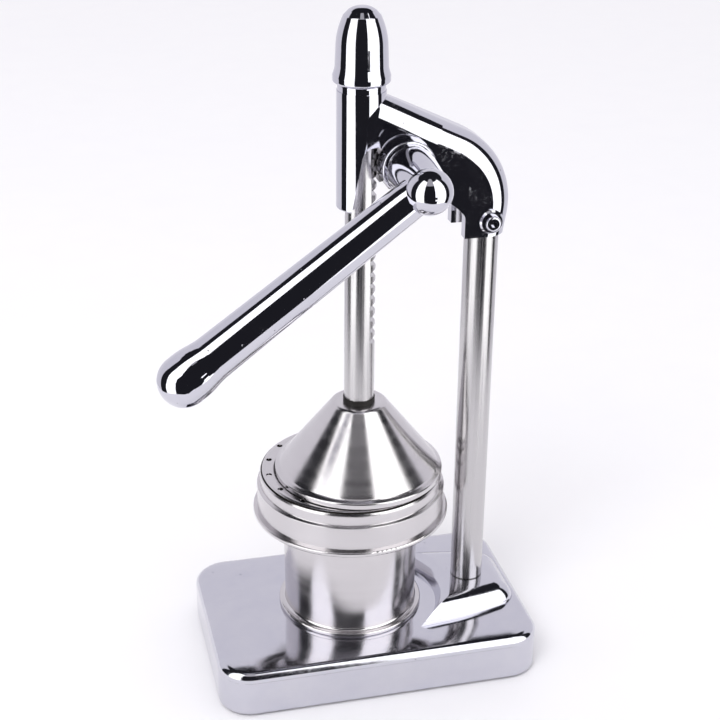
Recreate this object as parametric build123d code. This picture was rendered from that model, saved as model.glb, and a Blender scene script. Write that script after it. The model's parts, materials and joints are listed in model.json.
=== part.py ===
"""Lever citrus press: a rack rod with a press cone, driven down over a strainer and cup by a lever.

Millimetres. +Z is up, +X points from the rod to the post and -Y is the lever's side.
The origin lies on the table, under the middle of the base. The lever is drawn at its lowest place.
"""
import os
from math import acos, atan2, cos, degrees, dist, pi, radians, sin, sqrt, tan

from build123d import *

# Base casting and its raised pad
base_length = 180.0
base_width = 116.0
base_height = 25.8
base_corner = 18.0
base_wall = 4.0
base_top_round = 4.5
base_low_round = 2.0
pad_height = 9.0
pad_slope_width = 2.3
pad_bay_slope = 4.0
pad_root_depth = 3.5
pad_top_round = 11.4
pad_brow_round = 7.0
pad_brow_lift = 0.03
pad_near_half_width = 34.6
pad_middle_half_width = 31.4
pad_far_half_width = 21.8
pad_front_bow = 150.0
pad_end_gap = 4.5
pad_top_corner = 9.2
pad_cup_clearance = 4.5
post_socket_depth = 6.0
post_boss_radius = 16.0
post_boss_drop = 11.0
base_rib = 3.0
base_rib_drop = 9.0

# Feet and their screws
foot_radius = 8.5
foot_proud = 1.2
foot_recess = 3.0
foot_inset = 15.0
foot_low_round = 0.8
foot_boss_wall = 1.5
foot_head_radius = 4.0
foot_head_height = 1.8
foot_head_sunk = 1.2
foot_screw_radius = 2.0
foot_screw_length = 10.0

# Post and what holds it
post_end_gap = 28.0
post_radius = 9.0
post_wall = 1.5
post_plug_length = 20.0
post_bolt_radius = 4.0
post_bolt_head_flats = 13.0
post_bolt_head = 5.3
post_washer_radius = 11.0
post_washer_thick = 1.6

# Head casting
rod_to_post = 64.8
shaft_height = 289.5
tube_radius = 12.4
tube_above_shaft = 35.8
tube_below_shaft = 24.6
tube_low_round = 1.0
head_arm_drop = 1.2
ridge_slope = 25.4
ridge_radius = 42.0
ridge_round = 11.0
ridge_centre_drop = 24.3
head_roof = 5.0
leg_half_width = 15.0
leg_wall = 2.8
leg_lean = 9.0
leg_drop = 40.8
leg_inner_reach = 13.8
leg_taper_start = 16.0
arch_foot_reach = 13.4
arch_lean = 13.2
arch_top_above_shaft = 16.0
arch_corner_drop = 28.0
arch_top_round = 7.0
arch_leg_round = 6.0
boss_radius = 13.8
boss_collar_radius = 12.2
boss_collar = 2.6
boss_front = 19.4
boss_rear = 15.4
boss_round = 1.0

# Bushes
guide_bush_radius = 10.0
guide_flange_radius = 12.0
guide_flange_thick = 3.8
guide_flange_round = 1.2
shaft_bush_radius = 8.0

# Clamp bolt through the leg and the post
clamp_bolt_drop = 32.4
clamp_bolt_radius = 2.5
clamp_head_radius = 4.1
clamp_head_height = 3.2
clamp_head_round = 1.2
clamp_socket_flats = 3.0
clamp_socket_depth = 2.0
clamp_washer_radius = 6.4
clamp_washer_thick = 1.8
clamp_nut_flats = 8.0
clamp_nut_height = 5.0
clamp_bolt_end = 1.0
clamp_rear_washer_thick = 1.0
clamp_rear_washer_radius = 5.5

# Rack and pinion
gear_module = 2.0
pressure_angle = 20.0
pinion_teeth = 14
rack_pitch_offset = 6.0
rack_addendum = 1.6
rack_dedendum = 2.5
rack_teeth_below = 15
rack_teeth_above = 2
pinion_addendum = 1.8
pinion_dedendum = 2.5
pinion_flank_shares = (0, 1 / 3, 2 / 3, 1)
tooth_backlash = 0.24
pinion_width = 12.0
pinion_hub_radius = 10.5
roof_clearance = 2.7
key_width = 4.0
key_height = 4.0
key_length = 11.0

# Lever, its shaft and what holds them
shaft_radius = 6.0
shaft_seat = 26.0
shaft_tail = 3.0
hub_back_radius = 12.9
hub_neck_radius = 10.7
hub_ball_radius = 11.3
hub_length = 30.5
hub_back_round = 1.2
arm_plane = 24.0
arm_droop = 36.9
arm_length = 161.5
arm_root_radius = 9.4
arm_grip_radius = 11.6
arm_bulb_radius = 13.2
arm_swell_length = 9.0
arm_end_share = 1.5
arm_ball_share = 0.97
arm_swell_share = 0.33
set_screw_radius = 2.5
set_screw_length = 5.4
set_screw_flats = 2.5
set_screw_socket = 2.0
set_screw_back = 6.0
thrust_washer_radius = 12.4
thrust_washer_thick = 1.8
shaft_washer_radius = 9.5
shaft_washer_thick = 1.5
clip_thick = 1.2
clip_depth = 0.9
clip_rim = 2.2
clip_gap_share = 0.5

# Rack rod and knob
rod_radius = 8.0
rod_stud_radius = 5.0
rod_top_stud = 20.0
rod_low_stud = 13.0
knob_lip_radius = 14.4
knob_lip_height = 3.6
knob_waist_radius = 13.3
knob_waist_height = 7.2
knob_side_radius = 12.6
knob_side_height = 24.5
knob_crease_radius = 9.3
knob_crease_height = 32.4
knob_crown_radius = 6.8
knob_crown_height = 35.0
knob_top_radius = 3.8
knob_height = 36.8
knob_lip_round = 1.4
knob_waist_round = 6.0
knob_side_share = 0.75
knob_crease_round = 0.8
knob_crown_round = 2.5
knob_top_round = 8.0
knob_bore_extra = 2.0

# Press cone and its fixing
cone_brim_radius = 45.7
cone_brim_height = 2.8
cone_brim_round = 1.0
cone_wall = 1.2
cone_rise = 41.3
cone_top_radius = 14.4
cone_top_round = 3.0
cone_shoulder = 1.3
cone_low_round = 2.4
cone_seal_radius = 8.5
cone_seal_thick = 2.5
cone_washer_radius = 10.5
cone_washer_thick = 1.5
cone_nut_flats = 15.0
cone_nut_height = 8.0
cone_nut_dome = 6.0
press_gap = 0.6

# Juice cup and strainer
cup_shift_x = -3.7
cup_shift_y = 3.0
cup_height = 65.0
cup_foot_radius = 40.3
cup_body_radius = 37.4
cup_low_radius = 36.9
cup_bead_height = 2.6
cup_cove_height = 8.5
cup_cove_round = 6.0
cup_wall = 1.0
cup_floor = 1.6
cup_corner = 4.0
cup_rim_radius = 38.6
cup_rim_height = 2.0
strainer_wall = 1.0
strainer_rise = 21.4
strainer_bead_radius = 53.9
strainer_bead_height = 2.6
strainer_skirt_radius = 51.6
strainer_skirt_drop = 3.9
strainer_shoulder_radius = 50.0
strainer_step_drop = 8.2
strainer_step = 0.7
strainer_shoulder_round = 3.0
strainer_ledge_inner = 42.4
strainer_ledge_round = 2.0
strainer_well_radius = 40.6
strainer_spigot_clearance = 0.3
strainer_spigot_depth = 7.0
strainer_dome_rise = 17.0
strainer_dome_top = 7.0
strainer_floor_width = 4.0
drain_hole_radius = 1.6
drain_hole_ring = 45.6
drain_hole_count = 17
drain_hole_turn = 10.8
sieve_hole_radius = 1.5
sieve_ring_shares = (0.36, 0.58, 0.80)
sieve_hole_counts = (10, 16, 22)

# Fits and working allowances
running_fit = 0.05
seat_fit = 0.02
thrust_gap = 0.1
knob_rest_gap = 0.1
overrun = 20.0

# Places worked out from the sizes above
base_low_z = foot_proud
base_top_z = foot_proud + base_height
base_roof_z = base_top_z - base_wall
pad_top_z = base_top_z + pad_height
pad_recess_radius = cup_foot_radius + pad_cup_clearance
pad_end_x = base_length / 2 - pad_end_gap
post_x = base_length / 2 - post_end_gap
rod_x = post_x - rod_to_post
post_low_z = pad_top_z - post_socket_depth
post_boss_z = base_roof_z - post_boss_drop
shaft_x = rod_x + rack_pitch_offset + pinion_teeth * gear_module / 2
shaft_z = shaft_height
tube_top_z = shaft_z + tube_above_shaft
tube_low_z = shaft_z - tube_below_shaft
leg_right_x = post_x + post_radius + leg_wall
leg_left_x = post_x - leg_inner_reach
leg_low_z = shaft_z - leg_drop
clamp_bolt_z = shaft_z - clamp_bolt_drop
post_top_z = clamp_bolt_z + post_radius - post_wall
channel_half = post_radius + running_fit
roof_z = shaft_z + pinion_teeth * gear_module / 2 + pinion_addendum + roof_clearance
ridge_x = leg_right_x - ridge_radius
ridge_z = shaft_z - ridge_centre_drop
hub_back_y = -(boss_front + boss_collar + thrust_gap + thrust_washer_thick)
arm_y = hub_back_y - arm_plane
cup_x = rod_x + cup_shift_x
cup_y = cup_shift_y
cup_rim_z = base_top_z + cup_height
ledge_z = cup_rim_z + strainer_rise
cone_low_z = ledge_z + press_gap
cone_top_z = cone_low_z + cone_rise
rod_low_z = cone_top_z + cone_seal_thick
knob_low_z = tube_top_z + guide_flange_thick + knob_rest_gap
pitch = pi * gear_module
MIDDLE = (Align.CENTER, Align.CENTER, Align.CENTER)
STANDING = (Align.CENTER, Align.CENTER, Align.MIN)


def upright(radius, low, high, x=0, y=0):
    """A round bar along Z between two heights."""
    return Pos(x, y, low) * Cylinder(radius, high - low, align=STANDING)


def crosswise(radius, near, far, x, z):
    """A round bar along Y between two places."""
    return Pos(x, (near + far) / 2, z) * Rot(90, 0, 0) * Cylinder(radius, far - near, align=MIDDLE)


def block(low, high):
    """A box between two corners."""
    size = [b - a for a, b in zip(low, high)]
    middle = [(a + b) / 2 for a, b in zip(low, high)]
    return Pos(*middle) * Box(*size, align=MIDDLE)


def outline(corners):
    """A face in the XZ plane from corners of (across, up, corner round)."""
    line = FilletPolyline(*[c[:2] for c in corners], radius=[c[2] for c in corners], close=True)
    return make_face(Plane.XZ * line)


def soft_round(before, corner, after, share):
    """The corner round that takes up a share of the shorter of the two sides beside it."""
    first = atan2(corner[1] - before[1], corner[0] - before[0])
    second = atan2(after[1] - corner[1], after[0] - corner[0])
    reach = share * min(dist(before, corner), dist(corner, after))
    return reach / tan(abs(second - first) / 2)


def turned(corners, x=0, y=0):
    """A turned piece about an upright axis, from corners of (radius, height, corner round)."""
    return Pos(x, y, 0) * revolve(outline(corners), Axis.Z)


def dome(radius, height):
    """A dome over the XY plane: a quarter of an ellipse turned about Z."""
    quarter = EllipticalCenterArc((0, 0), radius, height, arc_size=90)
    edges = Curve(children=[quarter, Line((0, height), (0, 0)), Line((0, 0), (radius, 0))])
    return revolve(make_face(Plane.XZ * edges), Axis.Z)


def plate(face, low, high):
    """A flat face in the XY plane made a plate between two heights."""
    return Pos(0, 0, low) * extrude(face, high - low)


def hexagon(flats, low, high, x=0, y=0):
    """A hexagonal bar along Z."""
    return Pos(x, y, 0) * plate(RegularPolygon(flats / 2, 6, major_radius=False), low, high)


def washer(radius, bore, low, high, x=0, y=0):
    """A flat ring lying level."""
    return upright(radius, low, high, x, y) - upright(bore, low - overrun, high + overrun, x, y)


def ring_crosswise(radius, bore, near, far, x, z):
    """A flat ring on an axis along Y."""
    return crosswise(radius, near, far, x, z) - crosswise(bore, near - overrun, far + overrun, x, z)


def foot_places():
    """Names and places of the four feet."""
    across = base_length / 2 - foot_inset
    deep = base_width / 2 - foot_inset
    return {
        "front_left": (-across, -deep),
        "front_right": (across, -deep),
        "rear_left": (-across, deep),
        "rear_right": (across, deep),
    }


def pad_tongue():
    """The pad before its bay is cut: narrower towards the far end, with a wide round to its top.

    Its sides start inside the base's roof, so that they meet the base at a slant all the way round.
    """
    lean = atan2(pad_slope_width, pad_height)
    spread = pad_root_depth * tan(lean)
    near_x = rod_x + sqrt(pad_recess_radius**2 - pad_near_half_width**2)
    middle_x = (near_x + pad_end_x) / 2
    root_corner = pad_top_corner + pad_slope_width + spread
    front = [
        (rod_x, -pad_near_half_width - spread, 0),
        (near_x, -pad_near_half_width - spread, 0),
        (middle_x, -pad_middle_half_width - spread, pad_front_bow),
        (pad_end_x + spread, -pad_far_half_width - spread, root_corner),
    ]
    back = [(x, -y, bend) for x, y, bend in reversed(front)]
    corners = front + back
    line = FilletPolyline(*[c[:2] for c in corners], radius=[c[2] for c in corners], close=True)
    root_z = base_top_z - pad_root_depth
    tongue = Pos(0, 0, root_z) * extrude(make_face(line), pad_root_depth + pad_height, taper=degrees(lean))
    widest_round = pad_top_corner / tan(pi / 4 - lean / 2)
    rim = tongue.faces().sort_by(Axis.Z)[-1].edges().sort_by(Axis.X)[1:]
    return fillet(rim, min(pad_top_round, widest_round))


def cup_bay():
    """The turned room round the cup's place: a slope that rounds over into the pad's top."""
    low = base_top_z - overrun
    high = pad_top_z + overrun
    brow = pad_recess_radius + pad_bay_slope
    return turned(
        [
            (0, low, 0),
            (pad_recess_radius, low, 0),
            (pad_recess_radius, base_top_z, 0),
            (brow, pad_top_z + pad_brow_lift, pad_brow_round),
            (brow + overrun, pad_top_z + pad_brow_lift, 0),
            (brow + overrun, high, 0),
            (0, high, 0),
        ],
        rod_x,
    )


def raised_pad():
    """The pad that carries the post and goes part of the way round the cup."""
    return pad_tongue() - cup_bay()


def base_shell():
    """The base as an upturned tray with rounded edges."""
    plan = RectangleRounded(base_length, base_width, base_corner)
    tray = plate(plan, base_low_z, base_top_z)
    tray = fillet(tray.faces().sort_by(Axis.Z)[-1].edges(), base_top_round)
    tray = fillet(tray.faces().sort_by(Axis.Z)[0].edges(), base_low_round)
    room = RectangleRounded(base_length - 2 * base_wall, base_width - 2 * base_wall, base_corner - base_wall)
    hollow = plate(room, base_low_z - overrun, base_roof_z)
    return tray - hollow


def base_inside():
    """Bosses and ribs under the base's roof."""
    boss = upright(post_boss_radius, post_boss_z, base_roof_z, post_x)
    long_rib = block(
        (-base_length / 2 + base_wall, -base_rib / 2, base_roof_z - base_rib_drop),
        (post_x, base_rib / 2, base_roof_z),
    )
    cross_rib = block(
        (post_x - base_rib / 2, -base_width / 2 + base_wall, base_roof_z - base_rib_drop),
        (post_x + base_rib / 2, base_width / 2 - base_wall, base_roof_z),
    )
    inside = boss + long_rib + cross_rib
    for x, y in foot_places().values():
        inside += upright(foot_radius + foot_boss_wall, base_low_z + foot_recess, base_roof_z, x, y)
    return inside


def base_casting():
    """The whole base, with the post's socket and the holes for its bolt and the foot screws."""
    base = base_shell() + raised_pad() + base_inside()
    base -= upright(post_radius + seat_fit, post_low_z, pad_top_z + overrun, post_x)
    base -= upright(post_bolt_radius + running_fit, base_low_z, pad_top_z, post_x)
    for x, y in foot_places().values():
        low = base_low_z + foot_recess
        base -= upright(foot_screw_radius + seat_fit, low, low + foot_screw_length, x, y)
    return base


def rubber_foot(x, y):
    """A round foot with a sunk seat for its screw's head."""
    top = foot_proud + foot_recess
    foot = turned([(0, 0, 0), (foot_radius, 0, foot_low_round), (foot_radius, top, 0), (0, top, 0)], x, y)
    foot -= upright(foot_head_radius + seat_fit, -overrun, foot_head_sunk + foot_head_height, x, y)
    return foot - upright(foot_screw_radius + seat_fit, 0, top + overrun, x, y)


def foot_screws():
    """Four screws that hold the feet, as separate solids."""
    shoulder = foot_head_sunk + foot_head_height
    tip = foot_proud + foot_recess + foot_screw_length - foot_screw_radius
    screws = []
    for x, y in foot_places().values():
        head = upright(foot_head_radius, foot_head_sunk, shoulder, x, y)
        screws.append(head + upright(foot_screw_radius, foot_head_sunk, tip, x, y))
    return Compound(children=screws)


def post_tube():
    """The post: a steel tube with a cross hole for the clamp bolt."""
    tube = upright(post_radius, post_low_z, post_top_z, post_x)
    tube -= upright(post_radius - post_wall, post_low_z - overrun, post_top_z + overrun, post_x)
    reach = post_radius + overrun
    return tube - crosswise(clamp_bolt_radius + seat_fit, -reach, reach, post_x, clamp_bolt_z)


def post_plug():
    """A threaded plug fixed in the post's lower end."""
    top = post_low_z + post_plug_length
    return washer(post_radius - post_wall - seat_fit, post_bolt_radius + seat_fit, post_low_z, top, post_x)


def post_washer():
    """A broad washer under the base's post boss."""
    low = post_boss_z - post_washer_thick
    return washer(post_washer_radius, post_bolt_radius + running_fit, low, post_boss_z, post_x)


def post_bolt():
    """The bolt that draws the post down on the base."""
    seat = post_boss_z - post_washer_thick
    tip = post_low_z + post_plug_length - post_bolt_radius
    head = hexagon(post_bolt_head_flats, seat - post_bolt_head, seat, post_x)
    return head + upright(post_bolt_radius, seat, tip, post_x)


def ridge_outline(inset, left_x, top_z, low_z):
    """The arm from the side, drawn in from its ridge by an inset: slope, round bend and the leg's lean."""
    slope = radians(ridge_slope)
    lean = radians(leg_lean)
    bend = ridge_radius - inset

    def on_bend(angle):
        return (ridge_x + bend * sin(angle), ridge_z + bend * cos(angle))

    start = on_bend(slope)
    end = on_bend(pi / 2 + lean)
    crest = (start[0] - (top_z - start[1]) / tan(slope), top_z)
    foot = (end[0] - (end[1] - low_z) * tan(lean), low_z)
    edges = [
        Line((left_x, low_z), (left_x, top_z)),
        Line((left_x, top_z), crest),
        Line(crest, start),
        ThreePointArc(start, on_bend((slope + pi / 2 + lean) / 2), end),
        Line(end, foot),
        Line(foot, (left_x, low_z)),
    ]
    return make_face(Plane.XZ * Curve(children=edges))


def arm_solid():
    """The arm's outside: its side view carried across, narrower at the guide tube, with a round ridge."""
    side = ridge_outline(0, rod_x, tube_top_z - head_arm_drop, leg_low_z)
    body = extrude(side, leg_half_width + overrun, both=True)
    wide_x = leg_left_x - leg_taper_start
    plan = Polyline(
        (rod_x, -tube_radius),
        (wide_x, -leg_half_width),
        (leg_right_x + overrun, -leg_half_width),
        (leg_right_x + overrun, leg_half_width),
        (wide_x, leg_half_width),
        (rod_x, tube_radius),
        close=True,
    )
    body &= plate(make_face(plan), leg_low_z - overrun, tube_top_z + overrun)
    crown = [e for e in body.edges() if on_ridge(e)]
    return fillet(crown, ridge_round)


def on_ridge(edge):
    """Whether an edge runs along the top or the back of the arm, at either side."""
    middle = edge.center(CenterOf.MASS)
    beside = abs(middle.Y) > channel_half
    level = abs(edge.tangent_at(0).Y) < cos(pi / 4)
    behind = middle.X > leg_left_x + leg_inner_reach + post_radius
    above = middle.Z > shaft_z + pinion_teeth * gear_module / 2
    inboard = middle.X > rod_x + running_fit
    return beside and level and inboard and (behind or above)


def arch_cut():
    """What is cut away under the arm, seen from the side."""
    foot = (rod_x - arch_foot_reach, leg_low_z - overrun)
    crest = (rod_x - arch_foot_reach + arch_lean, shaft_z + arch_top_above_shaft)
    corner = (leg_left_x, shaft_z - arch_corner_drop)
    leg = (leg_left_x, leg_low_z - overrun)
    face = outline([(*foot, 0), (*crest, arch_top_round), (*corner, arch_leg_round), (*leg, 0)])
    return extrude(face, leg_half_width + overrun, both=True)


def channel():
    """The hollow inside the arm, open below, with a round end that takes the post."""
    side = ridge_outline(head_roof, rod_x, roof_z, leg_low_z - overrun)
    hollow = extrude(side, channel_half, both=True)
    return hollow & block((rod_x, -channel_half, leg_low_z - overrun), (post_x, channel_half, tube_top_z))


def bearing_boss(side, length):
    """One bearing boss with its raised collar; side is -1 in front and 1 behind."""
    boss = crosswise(boss_radius, channel_half, length, shaft_x, shaft_z)
    boss = fillet(boss.faces().sort_by(Axis.Y)[-1].edges(), boss_round)
    collar = crosswise(boss_collar_radius, length - boss_round, length + boss_collar, shaft_x, shaft_z)
    whole = boss + collar
    return whole if side > 0 else mirror(whole, Plane.XZ)


def head_casting():
    """Guide tube, arched arm, leg and bearing bosses in one casting."""
    tube = upright(tube_radius, tube_low_z, tube_top_z, rod_x)
    tube = fillet(tube.faces().sort_by(Axis.Z)[0].edges(), tube_low_round)
    head = tube + arm_solid()
    head -= arch_cut()
    head -= channel()
    head += bearing_boss(-1, boss_front) + bearing_boss(1, boss_rear)
    head -= upright(rod_radius + running_fit, tube_low_z - overrun, tube_top_z + overrun, rod_x)
    head -= upright(guide_bush_radius + seat_fit, roof_z, tube_top_z + overrun, rod_x)
    head -= upright(channel_half, leg_low_z - overrun, post_top_z, post_x)
    bore = shaft_bush_radius + seat_fit
    head -= crosswise(bore, -boss_front - overrun, boss_rear + overrun, shaft_x, shaft_z)
    hole = clamp_bolt_radius + seat_fit
    head -= crosswise(hole, -leg_half_width - overrun, leg_half_width + overrun, post_x, clamp_bolt_z)
    return head


def guide_bush():
    """The flanged bush at the top of the guide tube, which also stops the knob."""
    shell = upright(guide_bush_radius, roof_z, tube_top_z, rod_x)
    flange = upright(guide_flange_radius, tube_top_z, tube_top_z + guide_flange_thick, rod_x)
    flange = fillet(flange.faces().sort_by(Axis.Z)[-1].edges(), guide_flange_round)
    return shell + flange - upright(rod_radius + running_fit, roof_z - overrun, tube_top_z + overrun, rod_x)


def shaft_bush(near, far):
    """A plain bush for the lever's shaft."""
    return ring_crosswise(shaft_bush_radius, shaft_radius + running_fit, near, far, shaft_x, shaft_z)


def clamp_bolt():
    """A socket-head bolt across the leg and the post."""
    seat = -leg_half_width - clamp_washer_thick
    tip = leg_half_width + clamp_rear_washer_thick + clamp_nut_height + clamp_bolt_end
    head = crosswise(clamp_head_radius, seat - clamp_head_height, seat, post_x, clamp_bolt_z)
    head = fillet(head.faces().sort_by(Axis.Y)[0].edges(), clamp_head_round)
    socket = hexagon(clamp_socket_flats, 0, clamp_socket_depth + overrun)
    front = seat - clamp_head_height + clamp_socket_depth
    head -= Pos(post_x, front, clamp_bolt_z) * Rot(90, 0, 0) * socket
    return head + crosswise(clamp_bolt_radius, seat, tip, post_x, clamp_bolt_z)


def clamp_washer():
    """The wide bevelled washer under the bolt's head."""
    bore = clamp_bolt_radius + running_fit
    near = -leg_half_width - clamp_washer_thick
    ring = ring_crosswise(clamp_washer_radius, bore, near, -leg_half_width, post_x, clamp_bolt_z)
    rim = ring.faces().sort_by(Axis.Y)[0].edges().sort_by(SortBy.RADIUS)[-1]
    return chamfer(rim, clamp_washer_thick / 2)


def clamp_rear_washer():
    """A plain washer behind the leg."""
    far = leg_half_width + clamp_rear_washer_thick
    bore = clamp_bolt_radius + running_fit
    return ring_crosswise(clamp_rear_washer_radius, bore, leg_half_width, far, post_x, clamp_bolt_z)


def clamp_nut():
    """The hexagon nut behind the leg."""
    near = leg_half_width + clamp_rear_washer_thick
    nut = Pos(post_x, near, clamp_bolt_z) * Rot(-90, 0, 0) * hexagon(clamp_nut_flats, 0, clamp_nut_height)
    bore = clamp_bolt_radius + seat_fit
    return nut - crosswise(bore, near - overrun, near + overrun, post_x, clamp_bolt_z)


def involute(angle):
    """The involute of an angle."""
    return tan(angle) - angle


def tooth_half_angle(radius):
    """Half the angle that a pinion tooth fills at a radius."""
    pitch_radius = pinion_teeth * gear_module / 2
    base_radius = pitch_radius * cos(radians(pressure_angle))
    at_pitch = (pitch / 2 - tooth_backlash) / (2 * pitch_radius)
    slant = acos(min(1, base_radius / radius))
    return at_pitch + involute(radians(pressure_angle)) - involute(slant)


def pinion_face():
    """The toothed outline: involute flanks on straight roots, with a gap facing the rack."""
    pitch_radius = pinion_teeth * gear_module / 2
    root = pitch_radius - pinion_dedendum
    tip = pitch_radius + pinion_addendum
    foot = pitch_radius * cos(radians(pressure_angle))
    radii = [foot + (tip - foot) * share for share in pinion_flank_shares]
    step = 2 * pi / pinion_teeth

    def at(radius, angle):
        return (radius * cos(angle), radius * sin(angle))

    edges = []
    for number in range(pinion_teeth):
        middle = pi + (number + 1 / 2) * step
        half = tooth_half_angle(foot)
        rising = [at(r, middle - tooth_half_angle(r)) for r in radii]
        falling = [at(r, middle + tooth_half_angle(r)) for r in reversed(radii)]
        next_root = at(root, middle + step - half)
        edges += [
            Line(at(root, middle - half), rising[0]),
            Spline(*rising),
            Line(rising[-1], falling[0]),
            Spline(*falling),
            Line(falling[-1], at(root, middle + half)),
            ThreePointArc(at(root, middle + half), at(root, middle + step / 2), next_root),
        ]
    return make_face(Plane.XZ * Curve(children=edges))


def drive_pinion():
    """The pinion with a hub at each side and a keyway."""
    gear = Pos(shaft_x, 0, shaft_z) * extrude(pinion_face(), pinion_width / 2, both=True)
    reach = channel_half - thrust_gap * 3
    gear += crosswise(pinion_hub_radius, -reach, reach, shaft_x, shaft_z)
    gear -= crosswise(shaft_radius + seat_fit, -reach - overrun, reach + overrun, shaft_x, shaft_z)
    return gear - key_block(seat_fit, overrun)


def key_block(allowance, extra_length):
    """The room a key takes on top of the shaft, with an allowance all round."""
    half = key_width / 2 + allowance
    top = shaft_z + shaft_radius + key_height / 2 + allowance
    low = shaft_z + shaft_radius - key_height / 2 - allowance
    reach = key_length / 2 + allowance + extra_length
    return block((shaft_x - half, -reach, low), (shaft_x + half, reach, top))


def clip_place():
    """Near and far face of the spring clip on the shaft's tail."""
    near = boss_rear + boss_collar + thrust_gap + shaft_washer_thick
    return near, near + clip_thick


def lever_shaft():
    """The shaft through the head, with its keyway and the clip's groove."""
    near, far = clip_place()
    front = hub_back_y - shaft_seat
    shaft = crosswise(shaft_radius, front, far + shaft_tail, shaft_x, shaft_z)
    shaft = chamfer(shaft.faces().sort_by(Axis.Y)[-1].edges(), clip_depth)
    groove_bore = shaft_radius - clip_depth
    shaft -= ring_crosswise(shaft_radius + overrun, groove_bore, near, far, shaft_x, shaft_z)
    return shaft - key_block(seat_fit, 0)


def shaft_clip():
    """The open spring ring in the shaft's groove."""
    near, far = clip_place()
    bore = shaft_radius - clip_depth + seat_fit
    ring = ring_crosswise(shaft_radius + clip_rim, bore, near + seat_fit, far - seat_fit, shaft_x, shaft_z)
    half = shaft_radius * clip_gap_share
    mouth = block(
        (shaft_x - half, near - overrun, shaft_z - shaft_radius - overrun),
        (shaft_x + half, far + overrun, shaft_z),
    )
    return ring - mouth


def shaft_washer():
    """The washer between the rear boss and the clip."""
    near = boss_rear + boss_collar + thrust_gap
    far = near + shaft_washer_thick
    return ring_crosswise(shaft_washer_radius, shaft_radius + seat_fit, near, far, shaft_x, shaft_z)


def thrust_washer():
    """The ring between the front boss and the lever's hub."""
    far = hub_back_y + thrust_washer_thick
    return ring_crosswise(thrust_washer_radius, shaft_radius + seat_fit, hub_back_y, far, shaft_x, shaft_z)


def lever_hub():
    """The hub: a barrel that narrows to a neck, closed by a ball."""
    sunk = sqrt(hub_ball_radius**2 - hub_neck_radius**2)
    neck = (hub_neck_radius, hub_length - sunk)
    start = -degrees(atan2(sunk, hub_neck_radius))
    back = Line((0, 0), (hub_back_radius, 0))
    side = Line((hub_back_radius, 0), neck)
    ball = CenterArc((0, hub_length), hub_ball_radius, start, 90 - start)
    axis = Line((0, hub_length + hub_ball_radius), (0, 0))
    hub = revolve(make_face(Plane.XZ * Curve(children=[back, side, ball, axis])), Axis.Z)
    hub = fillet(hub.faces().sort_by(Axis.Z)[0].edges(), hub_back_round)
    return Pos(shaft_x, hub_back_y, shaft_z) * Rot(90, 0, 0) * hub


def arm_bar():
    """The arm: thin at the hub, swelling to the grip and a bulb, with a ball end."""
    start = arm_length - arm_bulb_radius * arm_end_share
    root = (arm_root_radius, 0)
    grip = (arm_grip_radius, start - arm_swell_length)
    bulb = (arm_bulb_radius, start)
    end = (arm_bulb_radius, arm_length)
    bar = turned(
        [
            (0, 0, 0),
            (*root, 0),
            (*grip, soft_round(root, grip, bulb, arm_swell_share)),
            (*bulb, soft_round(grip, bulb, end, arm_swell_share)),
            (*end, arm_bulb_radius * arm_ball_share),
            (0, arm_length, 0),
        ]
    )
    return Pos(shaft_x, arm_y, shaft_z) * Rot(0, -90 - arm_droop, 0) * bar


def set_screw_axis():
    """Frame of the set screw: out of the hub, square to the arm, on its lower side."""
    return Pos(shaft_x, hub_back_y - set_screw_back, shaft_z) * Rot(0, 180 - arm_droop, 0)


def lever_arm():
    """Hub and arm in one casting, with the shaft's seat and the set screw's hole."""
    lever = lever_hub() + arm_bar()
    seat_end = hub_back_y - shaft_seat
    lever -= crosswise(shaft_radius + seat_fit, seat_end, hub_back_y + overrun, shaft_x, shaft_z)
    return lever - set_screw_axis() * upright(set_screw_radius + seat_fit, 0, overrun)


def lever_set_screw():
    """The headless screw that fixes the hub on its shaft."""
    low = shaft_radius + seat_fit
    screw = upright(set_screw_radius, low, low + set_screw_length)
    socket_low = low + set_screw_length - set_screw_socket
    screw -= hexagon(set_screw_flats, socket_low, socket_low + overrun)
    return set_screw_axis() * screw


def rack_gap(height):
    """The room between two rack teeth: a wedge that opens towards the pinion."""
    line_x = rod_x + rack_pitch_offset
    half = pitch / 4 + tooth_backlash / 2
    lean = tan(radians(pressure_angle))
    reach = rod_radius
    face = outline(
        [
            (line_x - rack_dedendum, height - half + rack_dedendum * lean, 0),
            (line_x + reach, height - half - reach * lean, 0),
            (line_x + reach, height + half + reach * lean, 0),
            (line_x - rack_dedendum, height + half - rack_dedendum * lean, 0),
        ]
    )
    return extrude(face, rod_radius + overrun, both=True)


def rack_rod():
    """The round rod with a rack along its post side and a threaded stud at each end."""
    rod = upright(rod_radius, rod_low_z, knob_low_z, rod_x)
    rod += upright(rod_stud_radius, knob_low_z, knob_low_z + rod_top_stud, rod_x)
    rod += upright(rod_stud_radius, cone_top_z - rod_low_stud, rod_low_z, rod_x)
    lowest = shaft_z - (rack_teeth_below + 1 / 2) * pitch
    highest = shaft_z + (rack_teeth_above + 1 / 2) * pitch
    tips_x = rod_x + rack_pitch_offset + rack_addendum
    rod -= block((tips_x, -overrun, lowest), (tips_x + overrun, overrun, highest))
    for number in range(-rack_teeth_below - 1, rack_teeth_above + 1):
        rod -= rack_gap(shaft_z + (number + 1 / 2) * pitch)
    return rod


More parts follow.
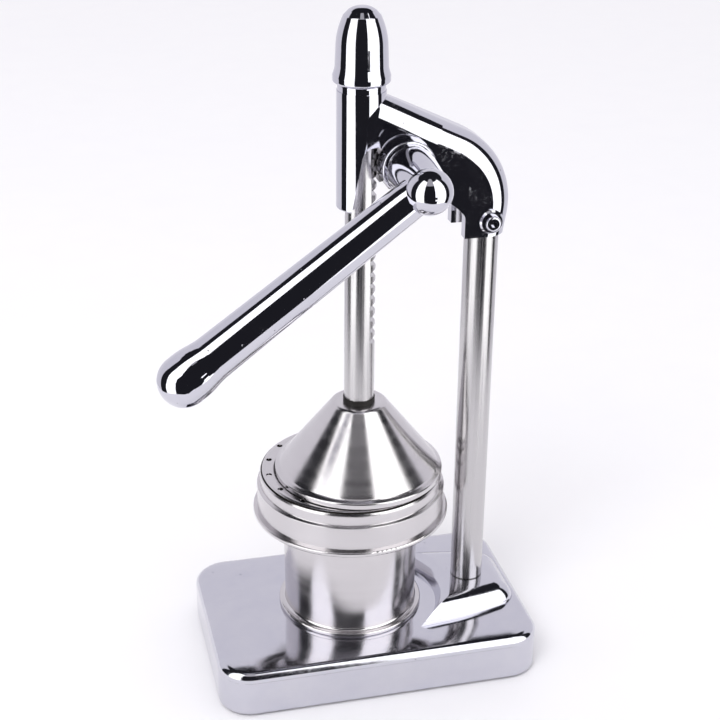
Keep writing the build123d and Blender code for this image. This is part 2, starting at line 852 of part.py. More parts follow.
def top_knob():
    """The domed knob screwed on the rod's upper stud."""
    low = knob_low_z
    waist = (knob_waist_radius, low + knob_waist_height)
    side = (knob_side_radius, low + knob_side_height)
    crease = (knob_crease_radius, low + knob_crease_height)
    knob = turned(
        [
            (0, low, 0),
            (knob_lip_radius, low, knob_lip_round),
            (knob_lip_radius, low + knob_lip_height, knob_lip_round),
            (*waist, knob_waist_round),
            (*side, soft_round(waist, side, crease, knob_side_share)),
            (*crease, knob_crease_round),
            (knob_crown_radius, low + knob_crown_height, knob_crown_round),
            (knob_top_radius, low + knob_height, knob_top_round),
            (0, low + knob_height, 0),
        ],
        rod_x,
    )
    bore_top = low + rod_top_stud + knob_bore_extra
    return knob - upright(rod_stud_radius + seat_fit, low - overrun, bore_top, rod_x)


def press_cone():
    """The spun cone: a short upright brim, a sloping side and a flat top with a hole for the stud."""
    low = cone_low_z
    brim_z = low + cone_brim_height
    shoulder_z = brim_z + cone_shoulder
    inner_top = cone_top_radius - cone_wall / 2
    cone = turned(
        [
            (0, cone_top_z, 0),
            (cone_top_radius, cone_top_z, cone_top_round),
            (cone_brim_radius - cone_low_round, shoulder_z, cone_low_round),
            (cone_brim_radius, brim_z, cone_brim_round),
            (cone_brim_radius, low, 0),
            (cone_brim_radius - cone_wall, low, 0),
            (cone_brim_radius - cone_low_round - cone_wall, shoulder_z - cone_wall, 0),
            (inner_top, cone_top_z - cone_wall, cone_top_round - cone_wall),
            (0, cone_top_z - cone_wall, 0),
        ],
        rod_x,
    )
    return cone - upright(rod_stud_radius + seat_fit, low, cone_top_z + overrun, rod_x)


def cone_seal():
    """The dark ring between the rod's shoulder and the cone."""
    return washer(cone_seal_radius, rod_stud_radius + seat_fit, cone_top_z, rod_low_z, rod_x)


def cone_washer():
    """The washer inside the cone."""
    top = cone_top_z - cone_wall
    return washer(cone_washer_radius, rod_stud_radius + seat_fit, top - cone_washer_thick, top, rod_x)


def cone_nut():
    """The domed nut on the rod's lower stud."""
    top = cone_top_z - cone_wall - cone_washer_thick
    low = top - cone_nut_height
    cap = Pos(rod_x, 0, low) * Rot(180, 0, 0) * dome(cone_nut_flats / 2, cone_nut_dome)
    nut = hexagon(cone_nut_flats, low, top, rod_x) + cap
    bore_low = cone_top_z - rod_low_stud
    return nut - upright(rod_stud_radius + seat_fit, bore_low, top + overrun, rod_x)


def juice_cup():
    """The cup: a beaded foot, a cove, a nearly straight wall and a thicker rim."""
    low = base_top_z
    rim_low = cup_rim_z - cup_rim_height
    return turned(
        [
            (0, low, 0),
            (cup_foot_radius, low, cup_bead_height / 3),
            (cup_foot_radius, low + cup_bead_height, cup_bead_height / 3),
            (cup_low_radius, low + cup_bead_height, cup_cove_round / 4),
            (cup_low_radius, low + cup_cove_height, 0),
            (cup_body_radius, rim_low, 0),
            (cup_rim_radius, rim_low, cup_rim_height / 4),
            (cup_rim_radius, cup_rim_z, cup_rim_height / 4),
            (cup_body_radius - cup_wall, cup_rim_z, 0),
            (cup_low_radius - cup_wall, low + cup_floor, cup_corner),
            (0, low + cup_floor, 0),
        ],
        cup_x,
        cup_y,
    )


def strainer_body():
    """The pressed ring: beaded skirt, ledge, well, locating spigot and a low domed floor."""
    wall = strainer_wall
    seat = cup_rim_z
    skirt_low = seat - strainer_skirt_drop
    bead_top = skirt_low + strainer_bead_height
    spigot = cup_body_radius - cup_wall - strainer_spigot_clearance
    floor_z = seat - strainer_spigot_depth
    step_z = ledge_z - strainer_step_drop
    foot = spigot - wall - strainer_floor_width
    dome_z = floor_z + strainer_dome_rise
    return turned(
        [
            (0, dome_z, 0),
            (strainer_dome_top, dome_z, strainer_dome_top),
            (foot, floor_z + wall, strainer_floor_width / 2),
            (spigot - wall, floor_z + wall, 0),
            (spigot - wall, seat + wall, 0),
            (strainer_well_radius - wall, seat + wall, wall),
            (strainer_ledge_inner - wall, ledge_z, strainer_ledge_round),
            (strainer_shoulder_radius, ledge_z, strainer_shoulder_round),
            (strainer_shoulder_radius, step_z, strainer_step / 2),
            (strainer_skirt_radius, step_z - strainer_step, strainer_step / 2),
            (strainer_skirt_radius, bead_top, 0),
            (strainer_bead_radius, bead_top, strainer_bead_height / 3),
            (strainer_bead_radius, skirt_low, strainer_bead_height / 3),
            (strainer_skirt_radius - wall, skirt_low, 0),
            (strainer_skirt_radius - wall, step_z - strainer_step - wall, strainer_step / 2),
            (strainer_shoulder_radius - wall, step_z - wall, strainer_step / 2),
            (strainer_shoulder_radius - wall, ledge_z - wall, strainer_shoulder_round - wall),
            (strainer_ledge_inner, ledge_z - wall, strainer_ledge_round / 2),
            (strainer_well_radius, seat, 0),
            (spigot, seat, 0),
            (spigot, floor_z, 0),
            (foot - wall / 2, floor_z, strainer_floor_width / 2),
            (strainer_dome_top - wall / 2, dome_z - wall, strainer_dome_top - wall),
            (0, dome_z - wall, 0),
        ],
        cup_x,
        cup_y,
    )


def strainer_holes():
    """Upright holes: one ring through the ledge and several through the domed floor."""
    spigot = cup_body_radius - cup_wall - strainer_spigot_clearance
    rings = [(drain_hole_ring, drain_hole_count, drain_hole_radius, drain_hole_turn)]
    for share, count in zip(sieve_ring_shares, sieve_hole_counts):
        rings.append((spigot * share, count, sieve_hole_radius, 0))
    holes = []
    for ring, count, radius, turn in rings:
        for number in range(count):
            angle = radians(turn + 360 * number / count)
            x = cup_x + ring * cos(angle)
            y = cup_y + ring * sin(angle)
            low = cup_rim_z - strainer_spigot_depth - strainer_skirt_drop
            holes.append(upright(radius, low, ledge_z + overrun, x, y))
    return holes


def strainer():
    """The strainer with all its holes."""
    return strainer_body() - strainer_holes()


def pieces():
    """Every piece of the press by its node's name."""
    made = {
        "base_casting": base_casting(),
        "foot_screws": foot_screws(),
        "post_tube": post_tube(),
        "post_plug": post_plug(),
        "post_washer": post_washer(),
        "post_bolt": post_bolt(),
        "head_casting": head_casting(),
        "guide_bush": guide_bush(),
        "shaft_bush_front": shaft_bush(-boss_front - boss_collar, -channel_half),
        "shaft_bush_rear": shaft_bush(channel_half, boss_rear + boss_collar),
        "clamp_bolt": clamp_bolt(),
        "clamp_washer": clamp_washer(),
        "clamp_rear_washer": clamp_rear_washer(),
        "clamp_nut": clamp_nut(),
        "lever_arm": lever_arm(),
        "lever_shaft": lever_shaft(),
        "lever_set_screw": lever_set_screw(),
        "drive_pinion": drive_pinion(),
        "pinion_key": key_block(0, 0),
        "thrust_washer": thrust_washer(),
        "shaft_washer": shaft_washer(),
        "shaft_clip": shaft_clip(),
        "rack_rod": rack_rod(),
        "top_knob": top_knob(),
        "press_cone": press_cone(),
        "cone_seal": cone_seal(),
        "cone_washer": cone_washer(),
        "cone_nut": cone_nut(),
        "juice_cup": juice_cup(),
        "strainer": strainer(),
    }
    for place, (x, y) in foot_places().items():
        made["foot_" + place] = rubber_foot(x, y)
    return made


def main():
    """Writes each piece to its own file."""
    os.makedirs("parts", exist_ok=True)
    for name, piece in pieces().items():
        export_step(piece, os.path.join("parts", name + ".step"))
        print(f"{name:20s} volume {piece.volume / 1000:8.2f} cm3")


main()
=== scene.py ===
# %% [markdown]
# # A lever citrus press in polished chrome and spun steel
#
# The press comes in as a finished construction: every casting, shaft, screw and pressed sheet already has
# its real shape, size and place. What is left is how it looks. That is two jobs: give each metal the finish
# its maker gave it, and build a small photo studio, because a mirror only ever shows what stands round it.

# %% Load the construction
import json
from math import cos, pi, radians, sin

import bpy
import numpy as np
from mathutils import Matrix, Vector


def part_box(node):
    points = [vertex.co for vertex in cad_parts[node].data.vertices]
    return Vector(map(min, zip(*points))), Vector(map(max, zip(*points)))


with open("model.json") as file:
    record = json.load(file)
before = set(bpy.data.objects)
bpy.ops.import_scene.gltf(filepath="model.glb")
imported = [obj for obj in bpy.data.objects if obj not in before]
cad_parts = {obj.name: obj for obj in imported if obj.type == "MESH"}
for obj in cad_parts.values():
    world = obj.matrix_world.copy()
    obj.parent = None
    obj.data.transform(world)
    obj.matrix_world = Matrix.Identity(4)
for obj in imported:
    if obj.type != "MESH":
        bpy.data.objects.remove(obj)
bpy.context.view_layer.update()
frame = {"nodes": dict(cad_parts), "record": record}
nodes = frame["nodes"]
MM = 0.001

# %% [markdown]
# ## The camera
#
# The viewing angle was found by lining the construction up with the edges in the photograph. A camera can be
# aimed with a constraint, but its matrix can also be written down directly, and then the small roll is kept
# too. The three columns of that matrix are what is right, up and backwards for the camera.

# %% The camera
CAMERA_AZIMUTH = -13.88
CAMERA_ELEVATION = 25.556
CAMERA_ROLL = 0.511
CAMERA_PLACE = Vector((-173.893, -694.074, 520.589)) * MM
CAMERA_LENS = 74.64
CAMERA_SENSOR = 36.0


def camera_axes(azimuth, elevation, roll):
    """Right, up and back of a camera that looks at the object from an azimuth, an elevation and a roll."""
    a, e, r = radians(azimuth), radians(elevation), radians(roll)
    back = Vector((sin(a) * cos(e), -cos(a) * cos(e), sin(e)))
    right = Vector((cos(a), sin(a), 0))
    up = back.cross(right)
    return right * cos(r) + up * sin(r), up * cos(r) - right * sin(r), back


camera_data = bpy.data.cameras.new("photo_camera")
camera_data.lens = CAMERA_LENS
camera_data.sensor_width = CAMERA_SENSOR
camera = bpy.data.objects.new("photo_camera", camera_data)
bpy.context.scene.collection.objects.link(camera)
axes = Matrix(camera_axes(CAMERA_AZIMUTH, CAMERA_ELEVATION, CAMERA_ROLL)).transposed()
camera.matrix_world = Matrix.Translation(CAMERA_PLACE) @ axes.to_4x4()
bpy.context.scene.camera = camera
print("camera", round(CAMERA_PLACE.length, 3), "m from the middle of the base")

# %% [markdown]
# ## Small tools for meshes and materials
#
# A surface can be written as a function of two numbers, and numpy works out all its points at once. One
# helper turns such a grid of points into a mesh. Colours are noted the way a painter's chart or a web page
# gives them, as hex values, and one helper makes them the linear numbers a renderer works with. A last helper
# adds a shader node, sets it up and wires it in one line, so that a material reads like a recipe.

# %% Small tools for meshes
def grid_object(name, points, smooth=True):
    """A mesh from an array of points[row, column], with a quad between each four neighbours."""
    rows, columns = points.shape[:2]
    index = np.arange(rows * columns).reshape(rows, columns)
    corners = [index[:-1, :-1], index[:-1, 1:], index[1:, 1:], index[1:, :-1]]
    quads = np.stack(corners, axis=-1).reshape(-1, 4)
    mesh = bpy.data.meshes.new(name)
    mesh.from_pydata(points.reshape(-1, 3).tolist(), [], quads.tolist())
    mesh.polygons.foreach_set("use_smooth", np.full(len(quads), smooth))
    made = bpy.data.objects.new(name, mesh)
    bpy.context.scene.collection.objects.link(made)
    return made


# %% Small tools for materials
def linear(hex_colour):
    """sRGB hex to linear RGBA: each channel is raised by the sRGB curve."""
    channels = np.array([int(hex_colour[i:i + 2], 16) for i in (1, 3, 5)]) / 255
    low = channels / 12.92
    high = ((channels + 0.055) / 1.055) ** 2.4
    return (*np.where(channels <= 0.04045, low, high).tolist(), 1.0)


def per_metre(size_mm):
    """Texture scale for features of a real size in millimetres."""
    return 1 / (size_mm * MM)


def new_material(name):
    """An empty node material: returns it, its tree and its principled shader."""
    material = bpy.data.materials.new(name)
    material.use_nodes = True
    return material, material.node_tree, material.node_tree.nodes["Principled BSDF"]


def add(tree, kind, inputs=None, **settings):
    """Adds a node: settings are its properties; inputs are values or the sockets that feed it."""
    made = tree.nodes.new("ShaderNode" + kind)
    for key, value in settings.items():
        setattr(made, key, value)
    for key, value in (inputs or {}).items():
        if isinstance(value, bpy.types.NodeSocket):
            tree.links.new(value, made.inputs[key])
        else:
            made.inputs[key].default_value = value
    return made


def wire(tree, shader, **sockets):
    """Sets or links sockets of the principled shader by their names, with _ for a space."""
    for key, value in sockets.items():
        socket = shader.inputs[key.replace("_", " ")]
        if isinstance(value, bpy.types.NodeSocket):
            tree.links.new(value, socket)
        else:
            socket.default_value = value


print("a mid grey of #808080 is", round(linear("#808080")[0], 3), "in linear light")

# %% [markdown]
# ## The floor
#
# A plain pale floor carries the press and its shadow. A single huge quad would do. Here it is a disc in two
# parts: the table round the press, which the metal mirrors, and the wide floor beyond it, which only fills
# the picture. The cup stands low and sees only the pale table, while the knob and the head look out over its
# edge into the dark room.

# %% The floor
FLOOR_REACH = 25.0
FLOOR_RINGS = 24
FLOOR_SECTORS = 144
TABLE_MARGIN = 330 * MM
TABLE_SQUARENESS = 3.0
base_low, base_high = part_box("base_casting")
table_reach = Vector((base_high.x + TABLE_MARGIN, base_high.y + TABLE_MARGIN))


def table_edge(angle):
    """The table's outline: a superellipse, |x/a|^n + |y/b|^n = 1, as a radius for each angle."""
    across = np.abs(np.cos(angle) / table_reach.x) ** TABLE_SQUARENESS
    deep = np.abs(np.sin(angle) / table_reach.y) ** TABLE_SQUARENESS
    return (across + deep) ** (-1 / TABLE_SQUARENESS)


def floor_points(inner, outer):
    """Rings between two outlines; the step from ring to ring grows with the square of its number."""
    angle = np.linspace(0, 2 * pi, FLOOR_SECTORS)
    share = np.linspace(0, 1, FLOOR_RINGS)[:, None] ** 2
    radius = inner(angle) * (1 - share) + outer(angle) * share
    return np.stack([radius * np.cos(angle), radius * np.sin(angle), 0 * radius], axis=-1)


# %% The floor's paper
PULP_MM = 40


def pale_paper():
    """Matt studio paper: nearly white, with the faint mottling of pulp, and no gloss to catch the eye."""
    material, tree, shader = new_material("pale_studio_paper")
    place = add(tree, "TexCoord").outputs["Object"]
    pulp = add(tree, "TexNoise", {"Vector": place, "Scale": per_metre(PULP_MM), "Detail": 3}).outputs["Fac"]
    tone = add(tree, "Mix", {"Factor": pulp, "A": linear("#F7F6F9"), "B": linear("#FAF9FB")},
               data_type="RGBA")
    wire(tree, shader, Base_Color=tone.outputs["Result"], Roughness=0.9, Specular_IOR_Level=0.1)
    return material


paper = pale_paper()
table = grid_object("table", floor_points(lambda angle: 0 * angle, table_edge))
floor = grid_object("floor", floor_points(table_edge, lambda angle: FLOOR_REACH + 0 * angle))
floor.visible_glossy = False
for sheet in (table, floor):
    sheet.data.materials.append(paper)
print("table", [round(2 * v, 2) for v in table_reach], "m, floor", FLOOR_REACH, "m out")

# %% [markdown]
# ## What the chrome sees
#
# Chrome has no colour of its own: it looks black and white because of what stands round it. A photographer
# lights such an object with a few white panels in a dark room. Each panel here is a patch of a large sphere
# between two azimuths and two elevations. Azimuth 0 is the front, and it grows towards the post's side. The
# panels and the dark room are there for reflections alone, so the camera doesn't see them and they throw no
# shadow.
#
# An upright face mirrors what lies as far below the level as it is seen from above. A round edge sweeps from
# there up to the ceiling. So the right panel has a narrower foot, which leaves the head's flat side black,
# and a grey cloth overhead keeps the middle of the cone from going black too.

# %% The cards
ROOM_RADIUS = 3.0
DARK_ROOM_RADIUS = 1.05 * ROOM_RADIUS
ROOM_MIDDLE = 0.18
CARD_COLUMNS = 64
CARD_ROWS = 32


def card_points(low_azimuths, high_azimuths, elevations, radius):
    """A patch of a sphere: its sides lead from the azimuths of its low edge to those of its high edge."""
    across = np.linspace(0, 1, CARD_COLUMNS)[:, None]
    up = np.linspace(0, 1, CARD_ROWS)[None, :]
    first, last = (low * (1 - up) + high * up for low, high in zip(low_azimuths, high_azimuths))
    azimuth = np.radians(first * (1 - across) + last * across)
    elevation = np.radians(elevations[0] * (1 - up) + elevations[1] * up)
    level = radius * np.cos(elevation)
    height = ROOM_MIDDLE + radius * np.sin(elevation) + 0 * across
    return np.stack([level * np.sin(azimuth), -level * np.cos(azimuth), height], axis=-1)


def glow(name, colour, strength):
    """A card's face: plain light of one colour."""
    material = bpy.data.materials.new(name)
    material.use_nodes = True
    tree = material.node_tree
    tree.nodes.clear()
    light = add(tree, "Emission", {"Color": linear(colour), "Strength": strength})
    add(tree, "OutputMaterial", {"Surface": light.outputs["Emission"]})
    return material


# %% What the chrome sees
white_cloth = glow("white_panel_cloth", "#FFFFFF", 2.2)
pale_sheet = glow("pale_back_sheet", "#F4F2FA", 0.95)
grey_cloth = glow("grey_ceiling_cloth", "#DAD8DC", 0.75)
black_cloth = glow("black_room_cloth", "#2B2B31", 0.7)
# Each card: azimuths of its low edge, azimuths of its high edge, elevations, radius, cloth
cards = {
    "left_panel": ((-84, -42), (-84, -42), (-42, 65), ROOM_RADIUS, white_cloth),
    "right_panel": ((12, 67), (12, 67), (-6, 65), ROOM_RADIUS, white_cloth),
    "right_panel_foot": ((24, 67), (22, 67), (-42, -6), ROOM_RADIUS, white_cloth),
    "back_sheet": ((90, 245), (90, 245), (-42, 45), ROOM_RADIUS, pale_sheet),
    "front_ceiling": ((-42, 15), (-42, 12), (47, 82), ROOM_RADIUS, grey_cloth),
    "under_sheet": ((0, 360), (0, 360), (-90, -42), ROOM_RADIUS, pale_sheet),
    "dark_room": ((0, 360), (0, 360), (-90, 90), DARK_ROOM_RADIUS, black_cloth),
}
for name, (low_azimuths, high_azimuths, elevations, radius, cloth) in cards.items():
    card = grid_object(name, card_points(low_azimuths, high_azimuths, elevations, radius))
    card.data.materials.append(cloth)
    card.visible_camera = False
    card.visible_diffuse = False
    card.visible_shadow = False
print(len(cards), "cards for the reflections")

# %% [markdown]
# ## Lights
#
# The room itself is an even pale light, which makes the floor nearly white, and one large soft lamp from the
# upper left gives the shadow a direction. The level is plain: a colour renders about as it is written.

# %% Lights
ROOM_LIGHT = 0.95
LAMP_WIDTH = 1.2
LAMP_WATTS = 20
LAMP_PLACE = Vector((-1.1, -1.2, 2.0))
LAMP_AIM = Vector((0, 0, 0.15))

world = bpy.data.worlds.new("pale_room")
bpy.context.scene.world = world
world.use_nodes = True
background = world.node_tree.nodes["Background"]
background.inputs["Color"].default_value = linear("#FAF9FC")
background.inputs["Strength"].default_value = ROOM_LIGHT

lamp_data = bpy.data.lights.new("soft_lamp", "AREA")
lamp_data.shape = "DISK"
lamp_data.size = LAMP_WIDTH
lamp_data.energy = LAMP_WATTS
lamp = bpy.data.objects.new("soft_lamp", lamp_data)
bpy.context.scene.collection.objects.link(lamp)
lamp.location = LAMP_PLACE
lamp.rotation_mode = "QUATERNION"
lamp.rotation_quaternion = (LAMP_AIM - LAMP_PLACE).to_track_quat("-Z", "Y")
lamp.visible_glossy = False
bpy.context.scene.view_settings.view_transform = "Standard"
print("one lamp of", lamp_data.energy, "W in a pale room")

# %% [markdown]
# ## Chrome on a polished casting
#
# The base, the head, the lever and the knob are castings that were ground, buffed and plated. The plating is
# a mirror, so its finish shows only in small faults: the wheel leaves a slow ripple, the casting leaves pin
# holes, and hands and packing leave clouds of fine rubs. Ripple and pin holes go into the bump, and the pin
# holes are also painted darker, as painted shade in each pit. The rubs go into the roughness, because a
# rubbed spot scatters a little of the white panels into what would else be black.
#
# The base has one more fault. A soft wheel takes off more near an edge than in the middle, so a flat top
# rolls down a little towards its sides. The eye notices it at once: reflections bend as they come near the
# edge. A bump can do that too, if its height is worked out in metres.

# %% A buffed roll
def buffed_roll(tree, place, levels):
    """Height of a buffed top: level over a flat middle, then -(distance past the middle)^2 / (2 radius).

    levels holds (from height, flat half-length, flat half-width, radius) in metres, from low to high.
    """
    parts = add(tree, "SeparateXYZ", {"Vector": place}).outputs
    total = 0.0
    for level, half_length, half_width, radius in levels:
        outside = []
        for coordinate, flat in ((parts["X"], half_length), (parts["Y"], half_width)):
            out = add(tree, "Math", {0: coordinate}, operation="ABSOLUTE").outputs["Value"]
            past = add(tree, "Math", {0: out, 1: flat}, operation="SUBTRACT").outputs["Value"]
            past = add(tree, "Math", {0: past, 1: 0.0}, operation="MAXIMUM").outputs["Value"]
            outside.append(add(tree, "Math", {0: past, 1: past}, operation="MULTIPLY").outputs["Value"])
        square = add(tree, "Math", {0: outside[0], 1: outside[1]}, operation="ADD").outputs["Value"]
        drop = add(tree, "Math", {0: square, 1: -0.5 / radius}, operation="MULTIPLY").outputs["Value"]
        above = add(tree, "Math", {0: parts["Z"], 1: level}, operation="GREATER_THAN").outputs["Value"]
        total = add(tree, "Mix", {"Factor": above, "A": total, "B": drop}).outputs["Result"]
    return total


# %% Chrome
RIPPLE_MM = 13
RIPPLE_DEPTH_MM = 0.04
CLOUD_MM = 16
RUB_MM = 1.7
PIN_HOLE_SPACING_MM = 9
PIN_HOLE_DEPTH_MM = 0.1


def plated_chrome(name, haze_range, levels=()):
    """Chromium over a buffed casting: a bluish mirror with slow waves, pin holes and clouds of rubs.

    To the eye it is black and white with crisp borders, and a little mist where it was rubbed.
    """
    material, tree, shader = new_material(name)
    place = add(tree, "TexCoord").outputs["Object"]
    waves = add(tree, "TexNoise", {"Vector": place, "Scale": per_metre(RIPPLE_MM), "Detail": 1.5})
    clouds = add(tree, "TexNoise", {"Vector": place, "Scale": per_metre(CLOUD_MM), "Detail": 5,
                                    "Roughness": 0.65}).outputs["Fac"]
    specks = add(tree, "TexNoise", {"Vector": place, "Scale": per_metre(RUB_MM), "Detail": 3,
                                    "Roughness": 0.6}).outputs["Fac"]
    where = add(tree, "MapRange", {"Value": clouds, "From Min": 0.46, "From Max": 0.74})
    spots = add(tree, "MapRange", {"Value": specks, "From Min": 0.45, "From Max": 0.72})
    rubs = add(tree, "Math", {0: where.outputs["Result"], 1: spots.outputs["Result"]}, operation="MULTIPLY")
    haze = add(tree, "MapRange", {"Value": rubs.outputs["Value"], "To Min": haze_range[0],
                                  "To Max": haze_range[1]})
    cells = add(tree, "TexVoronoi", {"Vector": place, "Scale": per_metre(PIN_HOLE_SPACING_MM),
                                     "Randomness": 1.0})
    pits_and_pit_shade = add(tree, "MapRange", {"Value": cells.outputs["Distance"], "From Min": 0.02,
                                  "From Max": 0.05}).outputs["Result"]
    face = add(tree, "Bump", {"Height": waves.outputs["Fac"], "Distance": RIPPLE_DEPTH_MM * MM,
                              "Strength": 1.0})
    face = add(tree, "Bump", {"Height": pits_and_pit_shade, "Distance": PIN_HOLE_DEPTH_MM * MM, "Strength": 0.8,
                              "Normal": face.outputs["Normal"]})
    if levels:
        face = add(tree, "Bump", {"Height": buffed_roll(tree, place, levels), "Distance": 1.0,
                                  "Strength": 1.0, "Normal": face.outputs["Normal"]})
    plate = add(tree, "Mix", {"Factor": clouds, "A": linear("#C6C6D1"), "B": linear("#D5D4DA")},
                data_type="RGBA")
    # painted shade: the pin holes are darkened in colour, on top of their sunk bump
    tone = add(tree, "Mix", {"Factor": pits_and_pit_shade, "A": linear("#7C7B80"), "B": plate.outputs["Result"]},
               data_type="RGBA")
    wire(tree, shader, Base_Color=tone.outputs["Result"], Metallic=1.0, Roughness=haze.outputs["Result"],
         Normal=face.outputs["Normal"])
    return material


# %% The castings and the base
CASTING_HAZE = (0.05, 0.24)
BASE_HAZE = (0.10, 0.28)
base_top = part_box("juice_cup")[0].z
base_roll = (base_top - 5 * MM, 72 * MM, 40 * MM, 110 * MM)
pad_roll = (base_top + 0.4 * MM, 74 * MM, 10.5 * MM, 90 * MM)

finishes = {"cast_chrome": plated_chrome("chrome_plate_on_buffed_casting", CASTING_HAZE)}
base_chrome = plated_chrome("chrome_plate_on_rolled_base", BASE_HAZE, (base_roll, pad_roll))
own_finish = {"base_casting": base_chrome}
print("made", finishes["cast_chrome"].name, "and", base_chrome.name)

# %% [markdown]
# ## Drawn and turned steel
#
# The post is drawn tube and the rod is ground bar. Drawing pulls fine streaks along the length, so the noise
# is stretched a hundredfold along the upright axis. It is polished less than the castings, so its
# reflections are soft. Where the tube goes into its seat, a thin dark line of painted shade marks the joint.

# %% Drawn steel
STREAK_MM = 0.9
STREAK_STRETCH = 0.01
STREAK_DEPTH_MM = 0.02


def drawn_steel(name, joint=None):
    """Polished drawn steel: streaks along the length, a little warmer and duller than chrome.

    To the eye its bright and dark bands run along it with soft borders. joint is a (low, high) height
    between which a painted shade line at the seat fades out.
    """
    material, tree, shader = new_material(name)
    place = add(tree, "TexCoord").outputs["Object"]
    along = add(tree, "Mapping", {"Vector": place, "Scale": (1.0, 1.0, STREAK_STRETCH)}).outputs["Vector"]
    streaks = add(tree, "TexNoise", {"Vector": along, "Scale": per_metre(STREAK_MM),
                                     "Detail": 4}).outputs["Fac"]
    rough = add(tree, "MapRange", {"Value": streaks, "From Min": 0.3, "From Max": 0.7,
                                   "To Min": 0.16, "To Max": 0.30}).outputs["Result"]
    face = add(tree, "Bump", {"Height": streaks, "Distance": STREAK_DEPTH_MM * MM, "Strength": 0.5})
    tone = add(tree, "Mix", {"Factor": streaks, "A": linear("#BDBBBD"), "B": linear("#CFCDCE")},
               data_type="RGBA")
    if joint:
        # painted shade: a thin dark line just above the seat, where the tube meets the pad
        height = add(tree, "SeparateXYZ", {"Vector": place}).outputs["Z"]
        painted_joint_shade = add(tree, "MapRange", {"Value": height, "From Min": joint[0], "From Max": joint[1],
                                      "To Min": 1.0, "To Max": 0.0}).outputs["Result"]
        tone = add(tree, "Mix", {"Factor": painted_joint_shade, "A": tone.outputs["Result"], "B": linear("#3B3838")},
                   data_type="RGBA")
    wire(tree, shader, Base_Color=tone.outputs["Result"], Metallic=1.0, Roughness=rough,
         Normal=face.outputs["Normal"])
    return material


pad_top = base_high.z
post_joint = (pad_top + 0.1 * MM, pad_top + 0.9 * MM)
finishes["turned_steel"] = drawn_steel("polished_drawn_steel")
own_finish["post_tube"] = drawn_steel("polished_drawn_tube", post_joint)
print("made", finishes["turned_steel"].name, "and", own_finish["post_tube"].name)

# %% [markdown]
# ## Spun stainless sheet
#
# The cone, the cup and the strainer were spun from sheet and brushed while they turned, so fine grooves run
# round the axis. They smear each reflection across themselves, up and down the wall, and that makes the
# bright fans on the cone. The principled shader does that with its anisotropy: the tangent runs round the
# axis, and a quarter turn lays the smear across it. A noise that knows only the distance from the axis and
# the height draws the coarser rings. The real grooves are finer than a pixel, so they are drawn three times
# as coarse here. The strainer's gutter is out of sight; it is painted dark and dull as painted shade, so its
# drain holes look dark.

# %% Round an axis
def middle_of(node):
    """The middle of a piece's box, seen from above, in metres."""
    low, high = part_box(node)
    return ((low.x + high.x) / 2, (low.y + high.y) / 2)


def axis_distance(tree, place, middle):
    """Sockets for the place seen from an upright axis: the level vector, its length and the height."""
    shift = (-middle[0], -middle[1], 0.0)
    centred = add(tree, "Mapping", {"Vector": place, "Location": shift}).outputs["Vector"]
    parts = add(tree, "SeparateXYZ", {"Vector": centred}).outputs
    flat = add(tree, "CombineXYZ", {"X": parts["X"], "Y": parts["Y"]}).outputs["Vector"]
    radius = add(tree, "VectorMath", {0: flat}, operation="LENGTH").outputs["Value"]
    return flat, radius, parts["Z"]


def inside(tree, radius, height, painted_shade_zone):
    """One between two radii and below a height, all three in hidden, and zero elsewhere."""
    share = 1.0
    limits = zip((radius, radius, height), painted_shade_zone, ("GREATER_THAN", "LESS_THAN", "LESS_THAN"))
    for value, limit, operation in limits:
        side = add(tree, "Math", {0: value, 1: limit}, operation=operation).outputs["Value"]
        share = add(tree, "Math", {0: share, 1: side}, operation="MULTIPLY").outputs["Value"]
    return share


# %% Spun steel
RING_MM = 0.6
RING_DEPTH_MM = 0.004
BAND_MM = 5
SMEAR_MM = 18
SHADE_ZONE_ROUGHNESS = 0.65


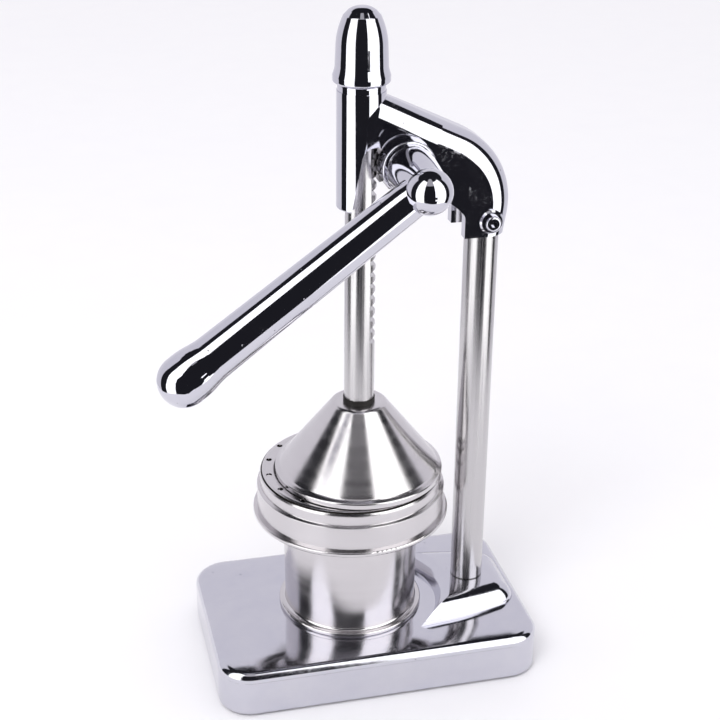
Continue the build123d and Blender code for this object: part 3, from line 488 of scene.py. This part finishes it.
def spun_steel(name, middle, painted_shade_zone=None):
    """Stainless sheet with turning marks: 2-D noise over (distance from the axis, height).

    To the eye it is a soft mirror whose lights are drawn out into fans. The optional last argument is an
    (inner radius, outer radius, below height) inside which the sheet is painted dark and dull as painted
    shade.
    """
    material, tree, shader = new_material(name)
    place = add(tree, "TexCoord").outputs["Object"]
    flat, radius, height = axis_distance(tree, place, middle)
    profile = add(tree, "CombineXYZ", {"X": radius, "Y": height}).outputs["Vector"]
    rings = add(tree, "TexNoise", {"Vector": profile, "Scale": per_metre(RING_MM), "Detail": 3},
                noise_dimensions="2D").outputs["Fac"]
    bands = add(tree, "TexNoise", {"Vector": profile, "Scale": per_metre(BAND_MM), "Detail": 2},
                noise_dimensions="2D").outputs["Fac"]
    smears = add(tree, "TexNoise", {"Vector": place, "Scale": per_metre(SMEAR_MM),
                                    "Detail": 4}).outputs["Fac"]
    both = add(tree, "Math", {0: bands, 1: smears}, operation="ADD").outputs["Value"]
    rough = add(tree, "MapRange", {"Value": both, "From Min": 0.6, "From Max": 1.4,
                                   "To Min": 0.15, "To Max": 0.27}).outputs["Result"]
    face = add(tree, "Bump", {"Height": rings, "Distance": RING_DEPTH_MM * MM, "Strength": 0.3})
    tone = add(tree, "Mix", {"Factor": smears, "A": linear("#CBC8CA"), "B": linear("#D9D6D8")},
               data_type="RGBA").outputs["Result"]
    if painted_shade_zone:
        # painted shade: the gutter under the ledge is painted near black and dull, so the drain holes look
        # dark
        painted_gutter_shade = inside(tree, radius, height, painted_shade_zone)
        tone = add(tree, "Mix", {"Factor": painted_gutter_shade, "A": tone, "B": linear("#2E2B29")},
                   data_type="RGBA").outputs["Result"]
        rough = add(tree, "Mix", {"Factor": painted_gutter_shade, "A": rough, "B": SHADE_ZONE_ROUGHNESS}).outputs["Result"]
    round_axis = add(tree, "VectorMath", {0: (0.0, 0.0, 1.0), 1: flat}, operation="CROSS_PRODUCT")
    grain = add(tree, "VectorTransform", {"Vector": round_axis.outputs["Vector"]}, vector_type="VECTOR",
                convert_from="OBJECT", convert_to="WORLD")
    wire(tree, shader, Base_Color=tone, Metallic=1.0, Roughness=rough, Normal=face.outputs["Normal"],
         Anisotropic=0.6, Anisotropic_Rotation=0.25, Tangent=grain.outputs["Vector"])
    return material


# %% Cone, cup and strainer
strainer_low, strainer_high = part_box("strainer")
strainer_radius = (strainer_high.x - strainer_low.x) / 2
# the strainer's gutter: the zone that is painted dark as shade
gutter = (strainer_radius - 11.9 * MM, strainer_radius - 4.4 * MM, strainer_high.z - 0.6 * MM)
for node, painted_shade_zone in (("press_cone", None), ("juice_cup", None), ("strainer", gutter)):
    own_finish[node] = spun_steel("spun_stainless_" + node, middle_of(node), painted_shade_zone)
    print("made", own_finish[node].name)

# %% [markdown]
# ## Small parts
#
# Screws, nuts and washers are zinc plated, which is a dull silver with a fine grain. The bushes are sintered
# bronze, pressed from powder, so they look like fine brown sand. The feet and the ring on the cone are
# moulded rubber, nearly black and without gloss. They are small, but each has its own grain.

# %% Small parts
def grained(name, tones, grain_mm, rough, metallic, depth_mm):
    """Two close tones mixed by a noise of a real grain size, with roughness and bump from the same grain."""
    material, tree, shader = new_material(name)
    place = add(tree, "TexCoord").outputs["Object"]
    grain = add(tree, "TexNoise", {"Vector": place, "Scale": per_metre(grain_mm), "Detail": 4}).outputs["Fac"]
    tone = add(tree, "Mix", {"Factor": grain, "A": linear(tones[0]), "B": linear(tones[1])},
               data_type="RGBA")
    dull = add(tree, "MapRange", {"Value": grain, "From Min": 0.3, "From Max": 0.7,
                                  "To Min": rough[0], "To Max": rough[1]}).outputs["Result"]
    face = add(tree, "Bump", {"Height": grain, "Distance": depth_mm * MM, "Strength": 0.7}).outputs["Normal"]
    wire(tree, shader, Base_Color=tone.outputs["Result"], Metallic=metallic, Roughness=dull, Normal=face)
    return material


ZINC = ("#B9BCC2", "#CFD1D4")
BRONZE = ("#8E6B3C", "#B08A52")
RUBBER = ("#15120F", "#241F1B")
finishes["zinc_steel"] = grained("zinc_plated_steel", ZINC, 0.8, (0.16, 0.34), 1.0, 0.01)
finishes["bearing_bronze"] = grained("sintered_bronze", BRONZE, 0.5, (0.32, 0.5), 1.0, 0.02)
finishes["dark_rubber"] = grained("moulded_black_rubber", RUBBER, 0.7, (0.5, 0.75), 0.0, 0.03)
print("made", [finishes[slot].name for slot in ("zinc_steel", "bearing_bronze", "dark_rubber")])

# %% [markdown]
# ## Dressing the pieces
#
# Each piece keeps its shape and gets the finish of its material. The spun pieces have one each, because their
# grain runs round their own axis, and the bright trim on the castings is plated like them.

# %% Dressing the pieces
for node in ("guide_bush", "thrust_washer", "clamp_bolt", "clamp_washer"):
    own_finish[node] = finishes["cast_chrome"]
slots = {part["node"]: part["material_slot"] for part in frame["record"]["subparts"]}
for name, piece in nodes.items():
    finish = own_finish.get(name) or finishes[slots[name]]
    piece.data.materials.clear()
    piece.data.materials.append(finish)
used = set(finishes.values()) | set(own_finish.values())
print(len(nodes), "pieces dressed in", len(used), "finishes")
